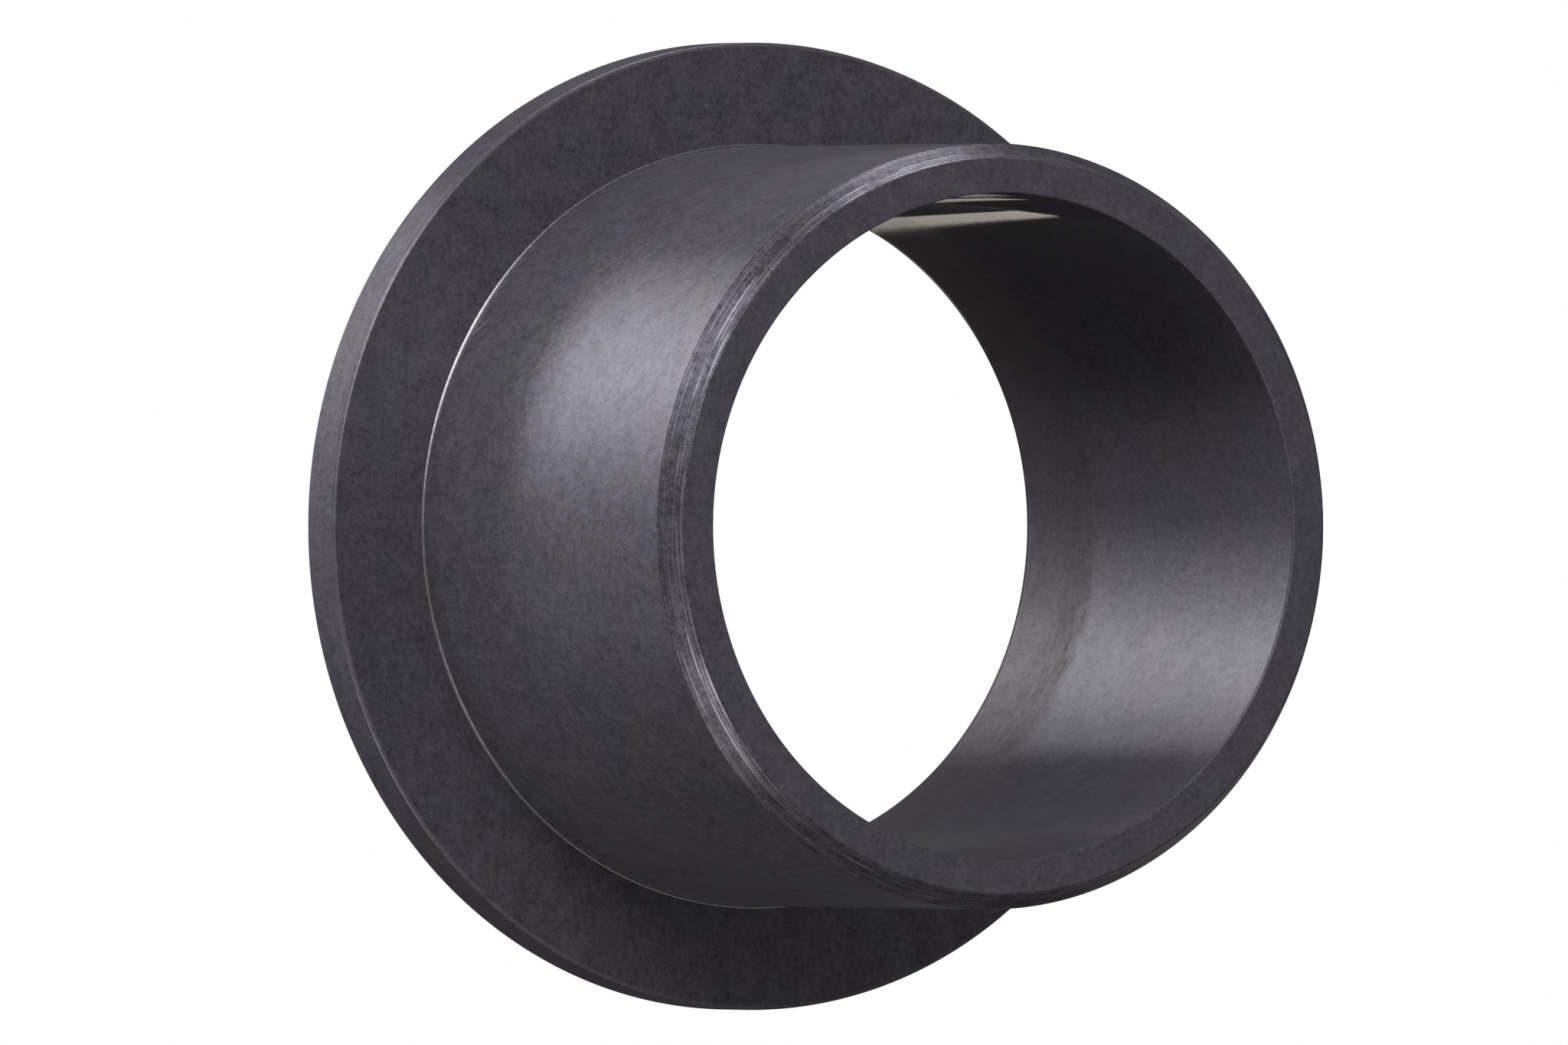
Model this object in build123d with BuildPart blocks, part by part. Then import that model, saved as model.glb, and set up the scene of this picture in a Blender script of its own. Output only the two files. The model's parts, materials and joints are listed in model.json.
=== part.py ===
from build123d import *
import math
import os

# Flanged sleeve bushing, moulded in one piece from a self-lubricating polymer.
#
# Millimetres. The bore axis lies along +X and +Z is up. The origin is on the bore axis, in the plane
# of the flange's seating face, the face that rests against the housing. The flange reaches back from
# there to x = -flange_thickness, and the sleeve runs forward to its nose at x = sleeve_length.

# Driving dimensions
bore_diameter = 20.0
sleeve_diameter = 23.0
flange_diameter = 29.3
overall_length = 16.8
flange_thickness = 1.6

# Lead-in chamfer round the nose, which centres the sleeve as it is pressed into its housing.
# Its angle is measured from the bore axis.
lead_in_length = 0.8
lead_in_angle = 30.0

# Edge radii
rim_radius = 0.12
root_radius = 0.08
bore_flange_end_radius = 0.85
bore_nose_end_radius = 0.06
lead_in_edge_radius = 0.06

# Worked out from the driving dimensions
bore_radius = bore_diameter / 2
sleeve_radius = sleeve_diameter / 2
flange_radius = flange_diameter / 2
sleeve_length = overall_length - flange_thickness
lead_in_start = sleeve_length - lead_in_length
nose_face_radius = sleeve_radius - lead_in_length * math.tan(math.radians(lead_in_angle))

position_tolerance = 0.001


def ring_edge(part, x, radius):
    """Find the circular edge of the given radius that runs round the bore axis at x."""
    for edge in part.edges().filter_by(GeomType.CIRCLE):
        same_radius = abs(edge.radius - radius) < position_tolerance
        same_place = abs(edge.arc_center.X - x) < position_tolerance
        if same_radius and same_place:
            return edge
    raise ValueError(f"no ring edge of radius {radius} at x = {x}")


os.makedirs("parts", exist_ok=True)

# The sleeve's wall and the flange share one L-shaped half section, turned once round the bore axis.
with BuildPart() as flanged_sleeve:
    with BuildSketch(Plane.XZ):
        with BuildLine():
            Polyline(
                (-flange_thickness, bore_radius),
                (-flange_thickness, flange_radius),
                (0, flange_radius),
                (0, sleeve_radius),
                (lead_in_start, sleeve_radius),
                (sleeve_length, nose_face_radius),
                (sleeve_length, bore_radius),
                close=True,
            )
        make_face()
    revolve(axis=Axis.X)

    # Outer rim of the flange, on its thrust face and on its seating face
    for rim_x in (-flange_thickness, 0):
        fillet(ring_edge(flanged_sleeve, rim_x, flange_radius), rim_radius)

    # Root, where the sleeve leaves the flange
    fillet(ring_edge(flanged_sleeve, 0, sleeve_radius), root_radius)

    # Both mouths of the bore
    fillet(ring_edge(flanged_sleeve, -flange_thickness, bore_radius), bore_flange_end_radius)
    fillet(ring_edge(flanged_sleeve, sleeve_length, bore_radius), bore_nose_end_radius)

    # Both edges of the lead-in chamfer
    fillet(ring_edge(flanged_sleeve, lead_in_start, sleeve_radius), lead_in_edge_radius)
    fillet(ring_edge(flanged_sleeve, sleeve_length, nose_face_radius), lead_in_edge_radius)

flanged_sleeve.part.label = "flanged_sleeve"
export_step(flanged_sleeve.part, "parts/flanged_sleeve.step")
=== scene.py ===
import json
import math

import bpy
from mathutils import Matrix, Vector, noise


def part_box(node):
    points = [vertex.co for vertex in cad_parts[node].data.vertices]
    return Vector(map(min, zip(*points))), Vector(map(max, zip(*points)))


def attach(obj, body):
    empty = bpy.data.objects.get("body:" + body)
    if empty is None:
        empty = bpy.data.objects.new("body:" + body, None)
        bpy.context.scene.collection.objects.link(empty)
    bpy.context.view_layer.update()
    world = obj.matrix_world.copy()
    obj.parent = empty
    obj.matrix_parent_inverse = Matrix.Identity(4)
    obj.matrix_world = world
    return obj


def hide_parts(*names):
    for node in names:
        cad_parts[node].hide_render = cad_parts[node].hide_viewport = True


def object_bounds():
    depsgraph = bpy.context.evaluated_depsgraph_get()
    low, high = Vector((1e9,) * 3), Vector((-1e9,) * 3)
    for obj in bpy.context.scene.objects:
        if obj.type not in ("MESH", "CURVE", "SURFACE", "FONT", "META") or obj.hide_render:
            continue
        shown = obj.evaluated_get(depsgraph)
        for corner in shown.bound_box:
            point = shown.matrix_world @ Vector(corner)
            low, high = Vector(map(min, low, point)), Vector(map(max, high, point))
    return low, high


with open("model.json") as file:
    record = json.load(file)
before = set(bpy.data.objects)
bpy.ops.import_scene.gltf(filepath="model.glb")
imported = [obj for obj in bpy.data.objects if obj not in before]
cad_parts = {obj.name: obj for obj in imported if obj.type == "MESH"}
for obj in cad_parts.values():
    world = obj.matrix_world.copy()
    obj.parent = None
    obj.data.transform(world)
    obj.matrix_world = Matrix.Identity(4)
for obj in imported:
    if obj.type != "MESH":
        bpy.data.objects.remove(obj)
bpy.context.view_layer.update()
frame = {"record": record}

# ---------------------------------------------------------------------------------------------
# Sizes, in metres. The main ones come from the frame; the edge radii and the chamfer are the CAD's.
# ---------------------------------------------------------------------------------------------
MM = 0.001
NODE = "flanged_sleeve"

mounts = {mount["name"]: mount for mount in frame["record"]["mounts"]}
low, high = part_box(NODE)
thrust_x = low[0]
seat_x = 0.0
nose_x = high[0]
flange_radius = high[2]
bore_radius = mounts["bore"]["dims"]["r_mm"] * MM
sleeve_radius = mounts["housing_seat"]["dims"]["r_mm"] * MM

lead_in_length = 0.8 * MM
lead_in_angle = math.radians(30)
lead_in_depth = lead_in_length * math.tan(lead_in_angle)
lead_in_x = nose_x - lead_in_length
nose_face_radius = sleeve_radius - lead_in_depth
chamfer_width = math.hypot(lead_in_length, lead_in_depth)

rim_round = 0.12 * MM
root_round = 0.08 * MM
bore_flange_round = 0.85 * MM
bore_nose_round = 0.06 * MM
lead_in_round = 0.06 * MM

# Raised marks that run round the chamfer. Each has its place across the chamfer, from 0 at the
# sleeve to 1 at the nose, its height and its half width.
CHAMFER_MARKS = [
    (0.05, 0.0020 * MM, 0.020 * MM),
    (0.22, 0.0020 * MM, 0.024 * MM),
    (0.62, 0.0050 * MM, 0.032 * MM),
    (0.75, 0.0040 * MM, 0.022 * MM),
    (0.90, 0.0050 * MM, 0.036 * MM),
]
TALLEST_MARK = max(height for _, height, _ in CHAMFER_MARKS)

# How far a mark wanders, as a share of the chamfer's width, and how patchily it shows
MARK_WANDER = 0.02
MARK_COVER = 0.55
MARK_PATCHINESS = 1.5

# Finer tool marks all across the chamfer. They wander by a share of their pitch, and their strength
# changes about a mean.
tool_mark_pitch = 0.075 * MM
tool_mark_height = 0.0004 * MM
TOOL_MARK_WANDER = 0.4
TOOL_MARK_MEAN = 0.6
TOOL_MARK_CHANGE = 0.9

# The slight unevenness of moulded walls
wall_wave_length = 4.5 * MM
wall_wave_height = 0.004 * MM

# Mesh: steps round the axis, in an arc and along the flats. A guard point near each end of a flat
# keeps the smooth shading of the rounded edges off it.
SEGMENTS = 400
ARC_STEPS = 8
WALL_STEP = 0.6 * MM
RIM_STEP = WALL_STEP / 3
NOSE_STEP = WALL_STEP / 2
CHAMFER_STEP = tool_mark_pitch / 6
GUARD = 0.02 * MM

# Mesh attribute that holds how burnished each vertex is, from 0 to 1
BURNISH = "burnish"


# ---------------------------------------------------------------------------------------------
# Shape: one closed half section, swept round the bore axis
# ---------------------------------------------------------------------------------------------
class Section:
    """A closed outline of (x, radius) points, each with its surface zone."""

    def __init__(self):
        self.points = []
        self.zones = []

    def line(self, start, end, zone, step):
        """Add even steps from start up to, but not including, end, and a guard point near each end."""
        length = math.dist(start, end)
        guard = GUARD / length
        count = max(1, round(length / step))
        stops = [0.0, guard] + [i / count for i in range(1, count)] + [1.0 - guard]
        for t in stops:
            self.points.append((start[0] + (end[0] - start[0]) * t, start[1] + (end[1] - start[1]) * t))
            self.zones.append(zone)

    def arc(self, centre, radius, start, end, zone):
        """Add points along an arc given in degrees, up to, but not including, its end."""
        for i in range(ARC_STEPS):
            self.points.append(on_circle(centre, radius, start + (end - start) * i / ARC_STEPS))
            self.zones.append(zone)


def on_circle(centre, radius, angle):
    """The point of a circle at an angle in degrees."""
    turn = math.radians(angle)
    return (centre[0] + radius * math.cos(turn), centre[1] + radius * math.sin(turn))


def corner_round(before, corner, after, radius):
    """Centre, start angle and end angle, in degrees, of the arc that rounds a corner of the outline."""
    corner = Vector(corner)
    to_before = (Vector(before) - corner).normalized()
    to_after = (Vector(after) - corner).normalized()
    half = to_before.angle(to_after) / 2
    reach = radius / math.tan(half)
    centre = corner + (to_before + to_after).normalized() * (radius / math.sin(half))
    first = corner + to_before * reach - centre
    last = corner + to_after * reach - centre
    start = math.degrees(math.atan2(first.y, first.x))
    turn = math.degrees(math.atan2(first.x * last.y - first.y * last.x, first.dot(last)))
    return centre, start, start + turn


def half_section():
    """The bushing's outline, from the bore's nose end through the flange and back along the sleeve."""
    # Each corner: its place, its radius, its arc's zone, and the zone and step of the flat after it
    corners = [
        ((nose_x, bore_radius), bore_nose_round, "nose", "bore", WALL_STEP),
        ((thrust_x, bore_radius), bore_flange_round, "bore", "thrust", WALL_STEP),
        ((thrust_x, flange_radius), rim_round, "edge", "rim", RIM_STEP),
        ((seat_x, flange_radius), rim_round, "edge", "seat", WALL_STEP),
        ((seat_x, sleeve_radius), root_round, "root", "wall", WALL_STEP),
        ((lead_in_x, sleeve_radius), lead_in_round, "lead_in", "lead_in", CHAMFER_STEP),
        ((nose_x, nose_face_radius), lead_in_round, "lead_in", "nose", NOSE_STEP),
    ]
    count = len(corners)
    arcs = []
    for i in range(count):
        corner, radius = corners[i][:2]
        centre, start, end = corner_round(corners[i - 1][0], corner, corners[(i + 1) % count][0], radius)
        arcs.append((centre, radius, start, end))
    section = Section()
    for i in range(count):
        _, _, arc_zone, flat_zone, step = corners[i]
        centre, radius, start, end = arcs[i]
        section.arc(centre, radius, start, end, arc_zone)
        next_centre, next_radius, next_start, _ = arcs[(i + 1) % count]
        flat_start = on_circle(centre, radius, end)
        flat_end = on_circle(next_centre, next_radius, next_start)
        section.line(flat_start, flat_end, flat_zone, step)
    return section


def outward_normals(points):
    """The direction out of the material at each point of the outline."""
    normals = []
    count = len(points)
    for j in range(count):
        along = (Vector(points[(j + 1) % count]) - Vector(points[j - 1])).normalized()
        normals.append(Vector((-along.y, along.x)))
    return normals


def around(angle, radius, offset):
    """A place on a circle in noise space, so that noise read there closes on itself."""
    return Vector((radius * math.cos(angle), radius * math.sin(angle), offset))


def chamfer_marks(distance, angle):
    """Height of the marks at a distance across the chamfer, and how burnished they leave it (0 to 1)."""
    across = distance / chamfer_width
    height = 0.0
    burnish = 0.0
    for number, (place, mark_height, half_width) in enumerate(CHAMFER_MARKS):
        wander = MARK_WANDER * noise.noise(around(angle, radius=1.5, offset=11.0 + number))
        bell = math.exp(-(((across - place - wander) * chamfer_width / half_width) ** 2))
        patches = noise.noise(around(angle, radius=8.0, offset=7.0 * number))
        fade = min(1.0, max(0.0, MARK_COVER + MARK_PATCHINESS * patches))
        height += mark_height * bell * fade
        burnish = max(burnish, bell * fade * mark_height / TALLEST_MARK)
    pitches = distance / tool_mark_pitch
    wander = TOOL_MARK_WANDER * noise.noise(around(angle, radius=2.0, offset=5.0))
    change = noise.noise(around(angle, radius=3.0, offset=pitches / 2))
    strength = TOOL_MARK_MEAN + TOOL_MARK_CHANGE * change
    height += tool_mark_height * strength * math.sin(math.tau * (pitches + wander))
    return height, burnish


def wall_wave(point):
    """Slight unevenness of a moulded wall at a point."""
    return wall_wave_height * noise.noise(point / wall_wave_length)


def sweep(section):
    """Turn the outline round the bore axis. Returns each vertex and how burnished it is."""
    normals = outward_normals(section.points)
    chamfer_start = Vector((lead_in_x, sleeve_radius))
    vertices = []
    burnished = []
    for i in range(SEGMENTS):
        angle = math.tau * i / SEGMENTS
        across = Vector((0.0, -math.cos(angle), math.sin(angle)))
        for (x, radius), zone, normal in zip(section.points, section.zones, normals):
            place = Vector((x, 0.0, 0.0)) + across * radius
            lift = wall_wave(place)
            burnish = 0.0
            if zone == "lead_in":
                height, burnish = chamfer_marks((Vector((x, radius)) - chamfer_start).length, angle)
                lift += height
            outward = Vector((normal.x, 0.0, 0.0)) + across * normal.y
            vertices.append(place + outward * lift)
            burnished.append(burnish)
    return vertices, burnished


def build_bushing():
    """One closed mesh, and the material zone of each of its faces."""
    section = half_section()
    vertices, burnished = sweep(section)
    rows = len(section.points)
    faces = []
    zones = []
    for i in range(SEGMENTS):
        here = i * rows
        there = (i + 1) % SEGMENTS * rows
        for j in range(rows):
            k = (j + 1) % rows
            faces.append((here + j, here + k, there + k, there + j))
            zones.append(section.zones[j])
    mesh = bpy.data.meshes.new("bushing_body")
    mesh.from_pydata(vertices, [], faces)
    mesh.attributes.new(BURNISH, "FLOAT", "POINT").data.foreach_set("value", burnished)
    return mesh, zones


# ---------------------------------------------------------------------------------------------
# Material: dark charcoal moulded polymer. Each zone of the surface has its own finish.
# Textures are laid out in millimetres, and the scale of a noise is in features per millimetre.
# ---------------------------------------------------------------------------------------------
PER_MM = 1 / MM

# Colours of the grain, and the two casts that it drifts between
GRAIN_DARK = (0.030, 0.0285, 0.0335, 1)
GRAIN_LIGHT = (0.068, 0.065, 0.074, 1)
VIOLET = (1.11, 0.96, 1.03, 1)
TEAL = (0.95, 1.01, 1.03, 1)

# Tints of what the surface reflects
SHINE = (1.0, 0.955, 0.995, 1)
COOL_SHINE = (0.985, 0.97, 1.045, 1)

# Colours of the marks
BURR = (0.21, 0.175, 0.20, 1)
WORN = (0.19, 0.165, 0.175, 1)
SPECK = (0.13, 0.125, 0.13, 1)
DULL = (0.060, 0.051, 0.047, 1)

# Grain: its shape, and how much it changes the colour, roughness, refractive index and relief
GRAIN_SCALE = 6.0
GRAIN_STRETCH = (0.55, 0.9, 0.9)
BLOTCH_SCALE = 1.3
BLOTCH_SHARE = 0.35
CAST_SCALE = 0.33
COLOUR_RANGE = 0.12
GRAIN_ROUGHNESS = 0.20
GRAIN_IOR = 1.0
GRAIN_RELIEF = 0.008

# Relief of the marks, in millimetres
STREAK_RELIEF = 0.003
BURR_RELIEF = 0.02

# The bore's dull stretch, in millimetres from the seat: where it fades out, where its streaky band
# fades in, and how ragged both edges are
DULL_END = (2.9, 3.5)
BAND_START = (1.0, 1.9)
DULL_RAGGEDNESS = 1.2

# How much of the roughness and relief is left where the view grazes the upper half
GRAZED_TEXTURE = 0.06


class Nodes:
    """A node tree that is filled by short calls. An input is a value or another node's output."""

    def __init__(self, tree):
        self.tree = tree
        self.tree.nodes.clear()

    def node(self, kind, inputs=None, **settings):
        """Add a node and link or set its inputs."""
        made = self.tree.nodes.new(kind)
        for name, value in settings.items():
            setattr(made, name, value)
        for name, value in (inputs or {}).items():
            if isinstance(value, bpy.types.NodeSocket):
                self.tree.links.new(value, made.inputs[name])
            else:
                made.inputs[name].default_value = value
        return made

    def maths(self, operation, a, b=0.0):
        """A Math node's output."""
        return self.node("ShaderNodeMath", {0: a, 1: b}, operation=operation).outputs[0]

    def add(self, a, b):
        """The sum of two values."""
        return self.maths("ADD", a, b)

    def times(self, a, b):
        """The product of two values."""
        return self.maths("MULTIPLY", a, b)

    def vector(self, operation, a, b):
        """A Vector Math node's vector."""
        return self.node("ShaderNodeVectorMath", {0: a, 1: b}, operation=operation).outputs["Vector"]

    def dot(self, a, b):
        """The dot product of two vectors."""
        return self.node("ShaderNodeVectorMath", {0: a, 1: b}, operation="DOT_PRODUCT").outputs["Value"]

    def length(self, a):
        """The length of a vector."""
        return self.node("ShaderNodeVectorMath", {0: a}, operation="LENGTH").outputs["Value"]

    def spread(self, value, low_in, high_in, low_out=0.0, high_out=1.0, kind="LINEAR"):
        """Map a value from one range to another, held inside it."""
        ranges = {"Value": value, 1: low_in, 2: high_in, 3: low_out, 4: high_out}
        return self.node("ShaderNodeMapRange", ranges, interpolation_type=kind).outputs[0]

    def mix(self, factor, a, b, blend="MIX"):
        """Mix two colours."""
        colours = {0: factor, 6: a, 7: b}
        return self.node("ShaderNodeMix", colours, data_type="RGBA", blend_type=blend).outputs[2]

    def noise(self, vector, scale, detail, rough=0.5):
        """Noise from 0 to 1 with its scale in features per unit of the vector."""
        inputs = {"Vector": vector, "Scale": scale, "Detail": detail, "Roughness": rough}
        return self.node("ShaderNodeTexNoise", inputs).outputs["Fac"]


class Polymer(Nodes):
    """The bushing's polymer. It starts plain, and each method adds one feature of a zone's finish."""

    def __init__(self, name, roughness, ior=1.5, sheen=0.05, grain=1.0, tone=1.0, shine=SHINE,
                 gloss_below=0.42):
        """gloss_below is the cosine of the view's angle below which the upper half turns glossier."""
        self.material = bpy.data.materials.new(name)
        self.material.use_nodes = True
        super().__init__(self.material.node_tree)
        metres = self.node("ShaderNodeTexCoord").outputs["Object"]
        self.place = self.vector("MULTIPLY", metres, (PER_MM,) * 3)
        self.x, y, z = self.node("ShaderNodeSeparateXYZ", {0: self.place}).outputs
        self.radius = self.maths("SQRT", self.add(self.times(y, y), self.times(z, z)))
        self.turn_y = self.maths("DIVIDE", y, self.radius)
        self.turn_z = self.maths("DIVIDE", z, self.radius)
        self.sheen = sheen
        self.shine = shine
        self.gloss_below = gloss_below
        self.add_grain(roughness, ior, grain, tone)

    def add_grain(self, roughness, ior, amount, tone):
        """Fine mottled grain in faint blotches, and a slow change of cast."""
        stretched = self.vector("MULTIPLY", self.place, GRAIN_STRETCH)
        grain = self.noise(stretched, GRAIN_SCALE, detail=4.0, rough=0.95)
        blotches = self.noise(self.place, BLOTCH_SCALE, detail=2.0, rough=0.7)
        mottle = self.add(grain, self.times(blotches, BLOTCH_SHARE))
        mean = (1 + BLOTCH_SHARE) / 2
        uneven = self.times(self.add(mottle, -mean), amount)
        colour = self.mix(self.spread(uneven, -COLOUR_RANGE, COLOUR_RANGE), GRAIN_DARK, GRAIN_LIGHT)
        drift = self.spread(self.noise(self.place, CAST_SCALE, detail=1.0), low_in=0.35, high_in=0.65)
        colour = self.mix(1.0, colour, self.mix(drift, TEAL, VIOLET), "MULTIPLY")
        self.colour = self.mix(1.0, colour, (tone, tone, tone, 1), "MULTIPLY")
        self.roughness = self.add(self.times(uneven, GRAIN_ROUGHNESS), roughness)
        self.ior = self.add(self.times(uneven, GRAIN_IOR), ior)
        self.relief = self.times(uneven, GRAIN_RELIEF)

    def add_specks(self):
        """A few tiny pale specks."""
        specks = self.spread(self.noise(self.place, scale=8.0, detail=1.0), low_in=0.74, high_in=0.86)
        self.colour = self.mix(specks, self.colour, SPECK)

    def marks(self, per_turn, per_mm):
        """Noise drawn out into fine marks that run round the bore axis."""
        swept = {
            0: self.times(self.x, per_mm),
            1: self.times(self.turn_y, per_turn),
            2: self.times(self.turn_z, per_turn),
        }
        inputs = {
            "Vector": self.node("ShaderNodeCombineXYZ", swept).outputs[0],
            "W": self.times(self.radius, per_mm),
            "Scale": 1.0,
            "Detail": 2.0,
            "Roughness": 0.6,
        }
        return self.node("ShaderNodeTexNoise", inputs, noise_dimensions="4D").outputs["Fac"]

    def add_streaks(self, strength):
        """Faint marks round the axis that vary the roughness and stand out a little."""
        marks = self.marks(per_turn=2.5, per_mm=9.0)
        self.roughness = self.add(self.roughness, self.times(self.add(marks, -0.5), strength))
        self.relief = self.add(self.relief, self.times(marks, STREAK_RELIEF * strength))

    def add_scuffs(self, amount, low_edge=0.52):
        """Pale, shinier scuffs drawn out round the axis. A lower edge spreads them wider."""
        marks = self.marks(per_turn=3.0, per_mm=11.0)
        scuffs = self.times(self.spread(marks, low_edge, low_edge + 0.2), amount)
        self.colour = self.mix(scuffs, self.colour, WORN)
        self.ior = self.add(self.times(scuffs, 0.5), self.ior)

    def add_wear(self, amount):
        """Even, pale wear that comes and goes slowly round the axis."""
        change = self.noise(self.place, scale=0.25, detail=2.0)
        worn = self.times(self.spread(change, low_in=0.35, high_in=0.6, low_out=0.5), amount)
        self.colour = self.mix(worn, self.colour, WORN)

    def add_burnish(self):
        """Paler, shinier tops on the chamfer's marks."""
        burnish = self.node("ShaderNodeAttribute", attribute_name=BURNISH).outputs["Fac"]
        self.colour = self.mix(self.times(burnish, 0.25), self.colour, WORN)
        self.ior = self.add(self.times(burnish, 1.1), self.ior)
        self.roughness = self.add(self.roughness, self.times(burnish, -0.08))

    def add_burr(self, start, end, half_width):
        """A short pale burr that runs out from one point on the wall to another, getting thinner."""
        run = self.vector("SUBTRACT", end, start)
        offset = self.vector("SUBTRACT", self.place, start)
        share = self.maths("DIVIDE", self.dot(offset, run), self.dot(run, run))
        along = self.spread(share, 0.0, 1.0)
        nearest = self.node("ShaderNodeVectorMath", {0: run, "Scale": along}, operation="SCALE").outputs[0]
        gap = self.length(self.vector("SUBTRACT", offset, nearest))
        width = self.spread(along, 0.0, 1.0, half_width, half_width / 3)
        from_middle = self.maths("DIVIDE", gap, width)
        burr = self.spread(from_middle, low_in=0.2, high_in=1.0, low_out=1.0, high_out=0.0)
        self.colour = self.mix(burr, self.colour, BURR)
        self.relief = self.add(self.relief, self.times(burr, BURR_RELIEF))

    def add_dull_mouth(self):
        """A duller, warmer stretch of bore at the flange end, with a streaky band along its edge."""
        change = self.noise(self.place, scale=1.4, detail=3.0, rough=0.7)
        from_seat = self.add(self.x, self.times(self.add(change, -0.5), DULL_RAGGEDNESS))
        dull = self.spread(from_seat, *DULL_END, low_out=1.0, high_out=0.0)
        band = self.times(dull, self.spread(from_seat, *BAND_START))
        streaks = self.spread(self.marks(per_turn=9.0, per_mm=4.0), low_in=0.42, high_in=0.62)
        matt = self.times(band, streaks)
        self.colour = self.mix(self.times(dull, 0.5), self.colour, DULL)
        self.roughness = self.add(self.roughness, self.times(dull, 0.08))
        self.roughness = self.add(self.roughness, self.times(matt, 0.12))
        self.ior = self.add(self.times(dull, -0.10), self.ior)

    def finish(self):
        """Join everything up. The upper half turns glossier as the view grazes it."""
        geometry = self.node("ShaderNodeNewGeometry").outputs
        facing = self.maths("ABSOLUTE", self.dot(geometry["Incoming"], geometry["True Normal"]))
        upper = self.spread(facing, 0.4 * self.gloss_below, self.gloss_below, low_out=GRAZED_TEXTURE)
        lower = self.spread(self.turn_z, low_in=0.0, high_in=0.4, low_out=1.0, high_out=0.0)
        texture = self.maths("MAXIMUM", upper, lower)
        roughness = self.times(self.roughness, texture)
        bump = self.node("ShaderNodeBump", {"Strength": texture, "Distance": MM, "Height": self.relief})
        inputs = {
            "Base Color": self.colour,
            "Roughness": roughness,
            "IOR": self.ior,
            "Sheen Weight": self.sheen,
            "Sheen Roughness": 0.5,
            "Specular Tint": self.shine,
            "Normal": bump.outputs[0],
        }
        surface = self.node("ShaderNodeBsdfPrincipled", inputs)
        self.node("ShaderNodeOutputMaterial", {"Surface": surface.outputs[0]})
        return self.material


def on_wall(x, angle):
    """A point on the sleeve's wall, in millimetres, at an angle round the axis in degrees."""
    radius = sleeve_radius * PER_MM
    return (x, -radius * math.cos(math.radians(angle)), radius * math.sin(math.radians(angle)))


def bore_wall():
    """Smooth moulded bore."""
    skin = Polymer("bore_wall", roughness=0.15, ior=1.39, sheen=0.0, grain=0.5)
    skin.add_streaks(0.03)
    skin.add_dull_mouth()
    return skin.finish()


def flat_face(name, grain, tone):
    """The matt, lightly marked finish of the flat faces."""
    skin = Polymer(name, roughness=0.38, grain=grain, tone=tone)
    skin.add_specks()
    skin.add_streaks(0.08)
    return skin.finish()


def flange_rim():
    """The flange's rim, lightly scuffed all round."""
    skin = Polymer("flange_rim", roughness=0.40, ior=1.33, sheen=0.0, grain=0.55, tone=1.2)
    skin.add_streaks(0.1)
    skin.add_scuffs(0.1, low_edge=0.48)
    return skin.finish()


def sleeve_wall():
    """The sleeve's outer wall, with a burr that runs out from its root."""
    skin = Polymer("sleeve_wall", roughness=0.20, grain=0.85, shine=COOL_SHINE, gloss_below=0.15)
    skin.add_specks()
    skin.add_burr(on_wall(0.20, 30.2), on_wall(0.75, 32.8), half_width=0.07)
    skin.add_streaks(0.04)
    return skin.finish()


def root_line():
    """The glossy root between the flange and the sleeve."""
    skin = Polymer("root_line", roughness=0.20, ior=2.7, sheen=0.0, tone=0.6)
    return skin.finish()


def lead_in_chamfer():
    """The chamfer, with marks and scuffs round it."""
    skin = Polymer("lead_in_chamfer", roughness=0.25, ior=1.39, sheen=0.0, tone=0.8)
    skin.add_streaks(0.14)
    skin.add_scuffs(0.3)
    skin.add_burnish()
    return skin.finish()


def rounded_edge():
    """The rim's rounded edges, which handling has worn a little paler."""
    skin = Polymer("rounded_edge", roughness=0.26, ior=1.6, sheen=0.0, grain=0.6)
    skin.add_wear(0.1)
    return skin.finish()


def zone_materials():
    """The finish of each zone of the bushing's surface."""
    return {
        "bore": bore_wall(),
        "thrust": flat_face("thrust_face", grain=0.8, tone=1.0),
        "rim": flange_rim(),
        "seat": flat_face("seating_face", grain=0.8, tone=0.84),
        "root": root_line(),
        "wall": sleeve_wall(),
        "lead_in": lead_in_chamfer(),
        "nose": flat_face("nose_face", grain=0.55, tone=0.96),
        "edge": rounded_edge(),
    }


def add_bushing():
    """Make the bushing, give each face its zone's finish, and let it stand for the CAD node."""
    mesh, zones = build_bushing()
    materials = zone_materials()
    names = list(materials)
    for name in names:
        mesh.materials.append(materials[name])
    mesh.polygons.foreach_set("material_index", [names.index(zone) for zone in zones])
    mesh.polygons.foreach_set("use_smooth", [True] * len(mesh.polygons))
    mesh.update()
    body = bpy.data.objects.new("bushing_body", mesh)
    bpy.context.collection.objects.link(body)
    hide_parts(NODE)
    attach(body, "root")
    return body


# ---------------------------------------------------------------------------------------------
# Stage: camera, pale floor, white surround and soft boxes
# ---------------------------------------------------------------------------------------------
# The camera looks level at AIM, a point close to the bore axis. FRAME_WIDTH is what it sees there.
VIEW_AZIMUTH = math.radians(60.6)
CAMERA_DISTANCE = 1.4
FRAME_WIDTH = 47.43 * MM
SENSOR_WIDTH = 36.0
AIM = Vector((1.72 * MM, 0.0, 0.115 * MM))

# The camera's own axes
RIGHT = Vector((math.cos(VIEW_AZIMUTH), math.sin(VIEW_AZIMUTH), 0.0))
UP = Vector((0.0, 0.0, 1.0))
TOWARD = Vector((math.sin(VIEW_AZIMUTH), -math.cos(VIEW_AZIMUTH), 0.0))

CENTRE = Vector(((thrust_x + nose_x) / 2, 0.0, 0.0))
BORE_TOP = CENTRE + UP * bore_radius

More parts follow.
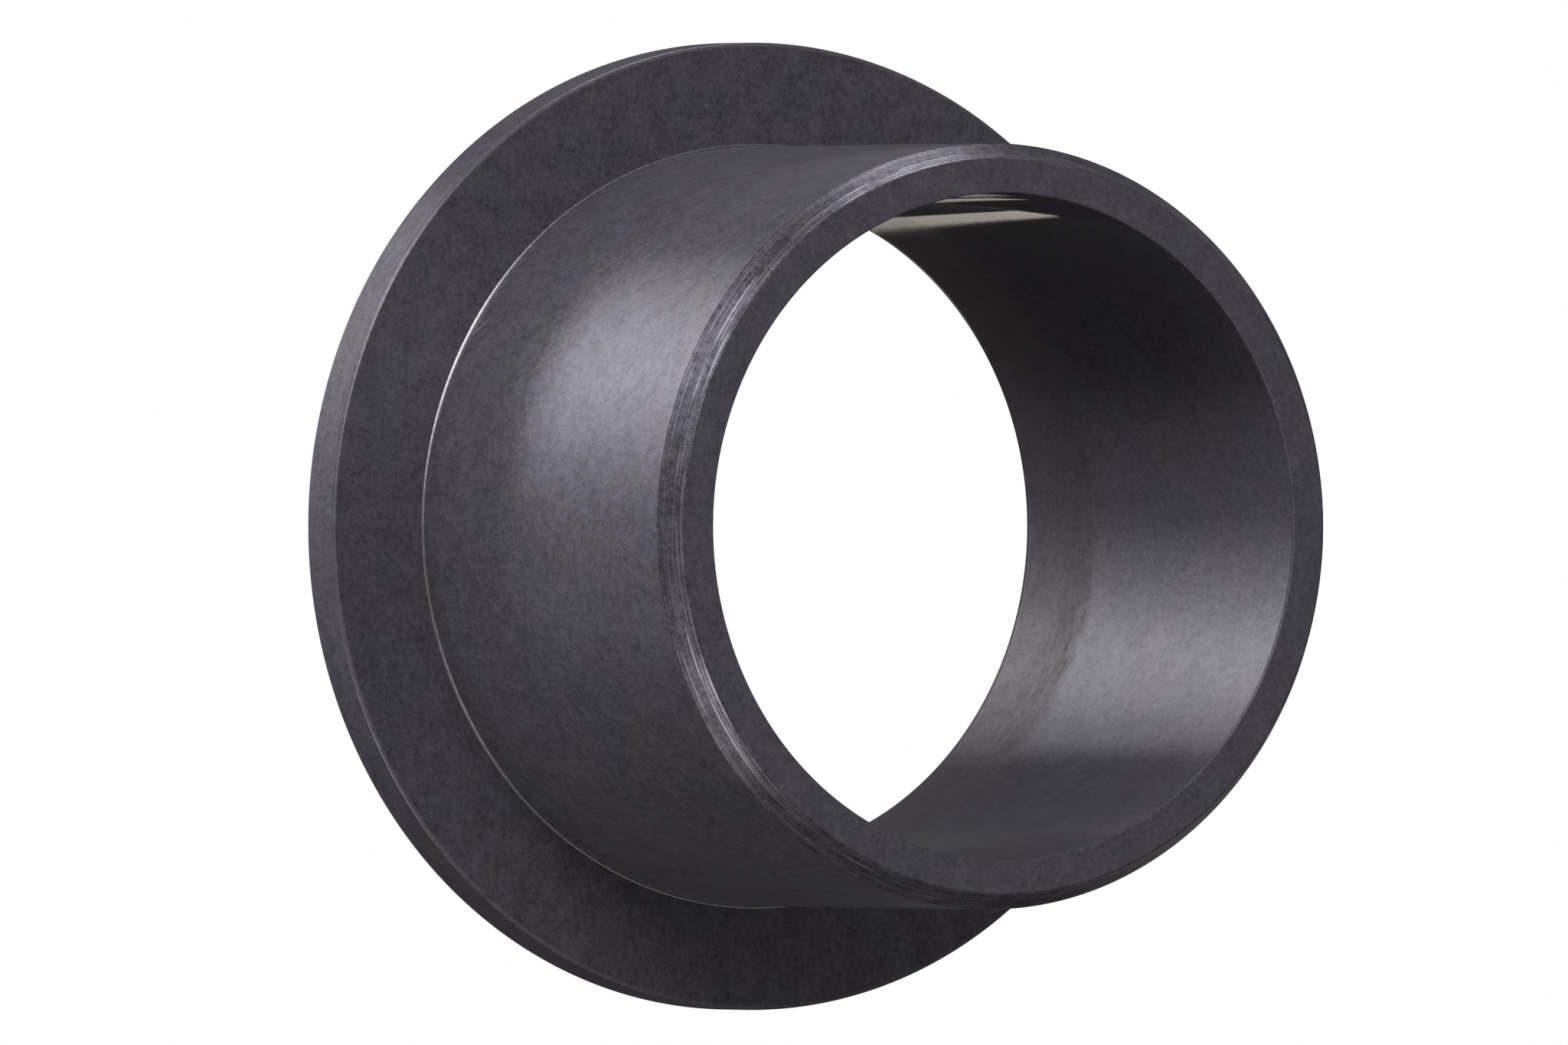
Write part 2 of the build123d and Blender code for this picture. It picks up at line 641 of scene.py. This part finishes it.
# Soft boxes. An area lamp needs an energy of four times its area for each unit of radiance.
# A box turned to SQUARE_TO_BORE leaves a highlight with straight edges along the wall.
BOX_DISTANCE = 0.3
ENERGY_PER_AREA = 4
SQUARE_TO_BORE = Vector((0.0, 0.766, 0.643))
COOL = (1.0, 0.98, 1.05)
SKY = (0.95, 0.965, 1.10)
CREAM = (1.0, 0.94, 0.82)

# Casts of the surround
WARM_BELOW = (1.03, 0.98, 0.99, 1)
COOL_ABOVE = (0.96, 0.97, 1.07, 1)
VIOLET_WINDOW = (0.95, 0.91, 1.14, 1)

FLOOR_RADIUS = 0.2
FLOOR_CORNERS = 96


def add_camera():
    """A long lens, so that the view is all but parallel."""
    lens = bpy.data.cameras.new("camera")
    lens.sensor_width = SENSOR_WIDTH
    lens.lens = SENSOR_WIDTH * CAMERA_DISTANCE / FRAME_WIDTH
    lens.clip_start = 0.01
    lens.clip_end = 10.0
    camera = bpy.data.objects.new("camera", lens)
    camera.location = AIM + TOWARD * CAMERA_DISTANCE
    camera.rotation_euler = TOWARD.to_track_quat("Z", "Y").to_euler()
    bpy.context.collection.objects.link(camera)
    bpy.context.scene.camera = camera


def in_camera_axes(right, up, toward):
    """A unit direction given along the camera's own axes."""
    return (RIGHT * right + UP * up + TOWARD * toward).normalized()


def add_soft_box(name, direction, width, height, radiance, falloff, upright=UP, colour=COOL,
                 aim=CENTRE, distance=BOX_DISTANCE):
    """A soft box that faces a point on the bushing from a direction in the camera's axes.

    It dims smoothly towards its edges, by the falloff.
    """
    lamp = bpy.data.lights.new(name, "AREA")
    lamp.shape = "RECTANGLE"
    lamp.size = width
    lamp.size_y = height
    lamp.energy = ENERGY_PER_AREA * width * height * radiance
    lamp.color = colour
    lamp.use_nodes = True
    nodes = Nodes(lamp.node_tree)
    place = nodes.node("ShaderNodeNewGeometry").outputs["Parametric"]
    from_middle = nodes.length(nodes.vector("SUBTRACT", place, (0.5, 0.5, 0.0)))
    strength = nodes.spread(from_middle, 0.0, 0.5, low_out=1.0, high_out=1.0 - falloff, kind="SMOOTHSTEP")
    glow = nodes.node("ShaderNodeEmission", {"Strength": strength})
    nodes.node("ShaderNodeOutputLight", {"Surface": glow.outputs[0]})
    holder = bpy.data.objects.new(name, lamp)
    outward = in_camera_axes(*direction)
    across = upright.cross(outward).normalized()
    turn = Matrix((across, outward.cross(across), outward)).transposed()
    holder.matrix_world = Matrix.Translation(aim + outward * distance) @ turn.to_4x4()
    holder.visible_camera = False
    bpy.context.collection.objects.link(holder)
    return holder


def light_only(lamp, body):
    """Let a lamp light nothing but one object."""
    lit = bpy.data.collections.new("lit_by_" + lamp.name)
    lit.objects.link(body)
    lamp.light_linking.receiver_collection = lit


def add_studio_lights(body):
    """Soft boxes that put the highlights where the real part shows them."""
    # Name, direction, width, height, radiance and falloff
    add_soft_box("rear_left", (-0.7195, 0.359, -0.594), 0.22, 0.20, 1.97, 0.75, upright=SQUARE_TO_BORE)
    add_soft_box("front_left_high", (-0.70, 0.64, 0.30), 0.20, 0.22, 3.6, 0.7, colour=SKY)
    add_soft_box("overhead", (0.0, 0.94, -0.34), 0.14, 0.14, 3.7, 0.5, upright=RIGHT, colour=SKY)
    add_soft_box("front_left_low", (-0.69, -0.66, 0.31), 0.19, 0.19, 3.1, 0.7)
    add_soft_box("front_high", (-0.34, 0.65, 0.68), 0.13, 0.13, 6.0, 0.5)
    add_soft_box("front", (0.16, 0.39, 0.91), 0.12, 0.13, 11.0, 0.5)

    # A small card behind the flange, for the bright strips along the top of the bore
    card = add_soft_box("far_table", (-0.115, -0.34, -0.933), 0.026, 0.0036, 0.62, 0.0,
                        colour=CREAM, aim=BORE_TOP, distance=0.066)
    light_only(card, body)


def lobe(nodes, direction, centre, edge, strength):
    """Light that grows smoothly towards a direction in the camera's axes, from a cosine of edge up."""
    closeness = nodes.dot(direction, in_camera_axes(*centre))
    return nodes.spread(closeness, edge, 1.0, high_out=strength, kind="SMOOTHSTEP")


def add_world():
    """White to the camera. To the bushing it is a dim studio, lighter above and in four soft lobes."""
    world = bpy.data.worlds.new("studio")
    world.use_nodes = True
    nodes = Nodes(world.node_tree)
    direction = nodes.node("ShaderNodeTexCoord").outputs["Generated"]
    height = nodes.dot(direction, UP)
    above = nodes.spread(height, -0.1, 0.3, low_out=0.03, high_out=0.12, kind="SMOOTHSTEP")
    front = lobe(nodes, direction, (-0.35, 0.35, 0.85), edge=-0.6, strength=0.3)
    left = lobe(nodes, direction, (-0.9, 0.2, -0.4), edge=0.75, strength=0.31)
    behind = lobe(nodes, direction, (0.25, -0.3, -0.9), edge=0.94, strength=0.14)
    low_right = lobe(nodes, direction, (0.5, -0.7, 0.5), edge=0.2, strength=0.15)
    strength = nodes.add(nodes.add(above, front), nodes.add(behind, low_right))
    cast = nodes.mix(nodes.spread(height, -0.2, 0.3), WARM_BELOW, COOL_ABOVE)
    room = nodes.node("ShaderNodeBackground", {"Color": cast, "Strength": strength})
    window = nodes.node("ShaderNodeBackground", {"Color": VIOLET_WINDOW, "Strength": left})
    dim = nodes.node("ShaderNodeAddShader", {0: room.outputs[0], 1: window.outputs[0]})
    white = nodes.node("ShaderNodeBackground", {"Color": (1, 1, 1, 1)})
    seen = nodes.node("ShaderNodeLightPath").outputs["Is Camera Ray"]
    mixed = nodes.node("ShaderNodeMixShader", {0: seen, 1: dim.outputs[0], 2: white.outputs[0]})
    nodes.node("ShaderNodeOutputWorld", {"Surface": mixed.outputs[0]})
    bpy.context.scene.world = world


def floor_surface():
    """Pale and matt, clearing to white towards its edge and where the view only grazes it."""
    material = bpy.data.materials.new("pale_floor")
    material.use_nodes = True
    nodes = Nodes(material.node_tree)
    from_middle = nodes.length(nodes.node("ShaderNodeTexCoord").outputs["Object"])
    edge = nodes.spread(from_middle, 0.25 * FLOOR_RADIUS, 0.95 * FLOOR_RADIUS, kind="SMOOTHSTEP")
    slope = nodes.dot(nodes.node("ShaderNodeNewGeometry").outputs["Incoming"], UP)
    grazing = nodes.spread(slope, 0.05, 0.20, low_out=1.0, high_out=0.0, kind="SMOOTHSTEP")
    clear = nodes.maths("MAXIMUM", edge, grazing)
    matt = nodes.node("ShaderNodeBsdfDiffuse", {"Color": (0.9, 0.9, 0.9, 1)})
    white = nodes.node("ShaderNodeEmission", {"Color": (1, 1, 1, 1)})
    mixed = nodes.node("ShaderNodeMixShader", {0: clear, 1: matt.outputs[0], 2: white.outputs[0]})
    nodes.node("ShaderNodeOutputMaterial", {"Surface": mixed.outputs[0]})
    return material


def add_floor():
    """A round floor that takes shadows but sends no light back up to the bushing."""
    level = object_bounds()[0][2]
    corners = []
    for i in range(FLOOR_CORNERS):
        angle = math.tau * i / FLOOR_CORNERS
        corners.append((FLOOR_RADIUS * math.cos(angle), FLOOR_RADIUS * math.sin(angle), 0.0))
    mesh = bpy.data.meshes.new("floor")
    mesh.from_pydata(corners, [], [range(FLOOR_CORNERS)])
    mesh.materials.append(floor_surface())
    floor = bpy.data.objects.new("floor", mesh)
    floor.location = (CENTRE.x, 0.0, level)
    floor.visible_diffuse = False
    floor.visible_glossy = False
    floor.visible_shadow = False
    bpy.context.collection.objects.link(floor)


bushing = add_bushing()
add_floor()
add_camera()
add_studio_lights(bushing)
add_world()
bpy.context.scene.view_settings.view_transform = "Standard"
